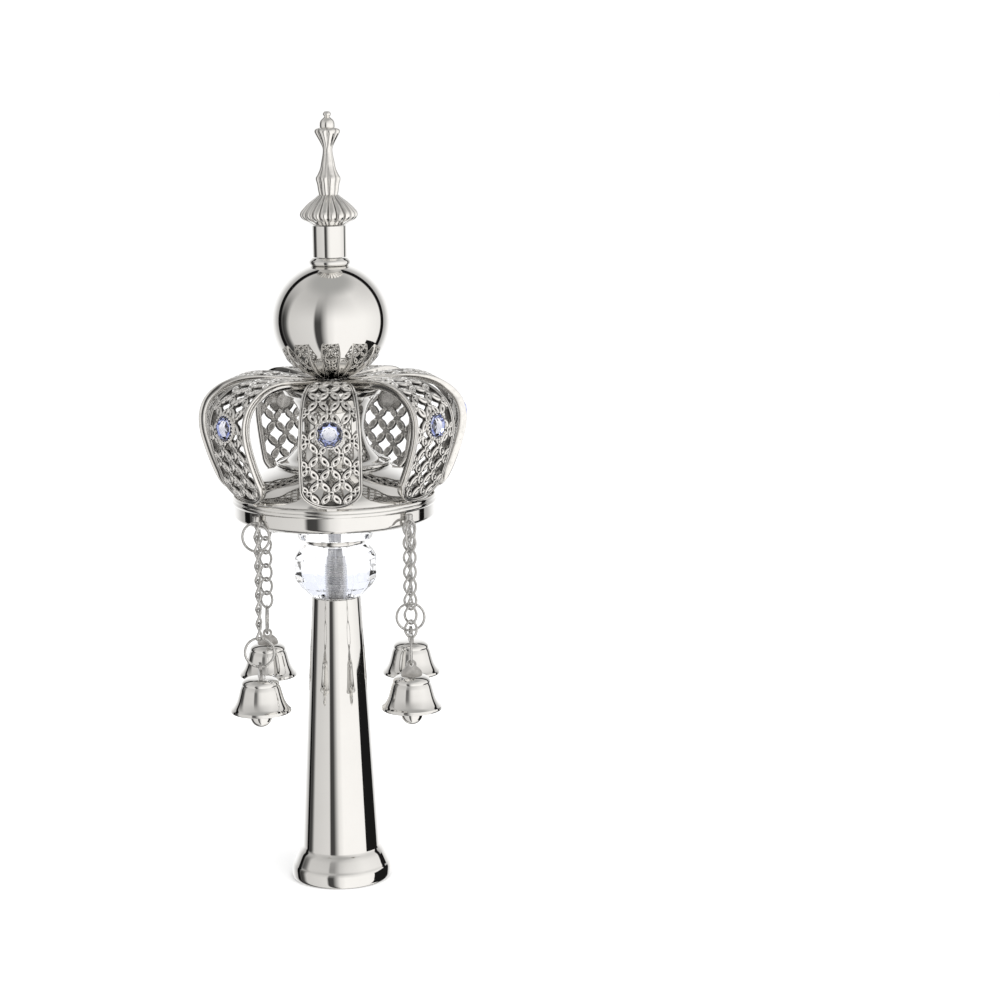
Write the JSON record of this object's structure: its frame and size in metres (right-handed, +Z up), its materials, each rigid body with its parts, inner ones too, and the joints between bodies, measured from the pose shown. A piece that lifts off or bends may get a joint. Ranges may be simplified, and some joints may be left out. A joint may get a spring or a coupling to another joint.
{
  "type": "torah finial",
  "caption": "Tall plated-metal finial with a hollow tapered sleeve, clear faceted bead, open jewelled crown with bells on short chains, a ball and a fluted tip, for a scroll's stave.",
  "frame": {"origin": "on the finial's axis at the underside of its foot", "axes": "+Z up along the finial's axis, -Y towards the front strap of the crown, +X to the right"},
  "size_m": [0.1148, 0.1131, 0.3293],
  "materials": {
    "polished_nickel": "mirror-polished nickel plate on spun brass",
    "cast_nickel": "nickel-plated casting, polished on its high places, darker in its hollows",
    "chain_nickel": "bright plated wire",
    "threaded_steel": "plain threaded rod",
    "clear_crystal": "clear cut crystal with a faint blue cast",
    "pale_stone": "foil-backed cut glass stone, pale blue"
  },
  "bodies": {
    "root": {"handle_sleeve": "polished_nickel", "crystal_bead": "clear_crystal", "threaded_rod": "threaded_steel", "crown_base": "polished_nickel", "crown_dome": "polished_nickel", "crown_spool": "polished_nickel", "crown_strap_1": "cast_nickel", "crown_strap_2": "cast_nickel", "crown_strap_3": "cast_nickel", "crown_strap_4": "cast_nickel", "crown_strap_5": "cast_nickel", "crown_strap_6": "cast_nickel", "crown_strap_7": "cast_nickel", "jewel_1": "pale_stone", "jewel_2": "pale_stone", "jewel_3": "pale_stone", "jewel_4": "pale_stone", "jewel_5": "pale_stone", "jewel_6": "pale_stone", "jewel_7": "pale_stone", "ball": "polished_nickel", "ball_collar": "polished_nickel", "neck_tube": "polished_nickel", "top_knop": "cast_nickel", "chain_1": "chain_nickel", "chain_2": "chain_nickel", "chain_3": "chain_nickel", "chain_4": "chain_nickel", "bell_1": "polished_nickel", "bell_2": "polished_nickel", "bell_3": "polished_nickel", "bell_4": "polished_nickel", "clapper_1": "polished_nickel", "clapper_2": "polished_nickel", "clapper_3": "polished_nickel", "clapper_4": "polished_nickel"}
  },
  "joints": []
}
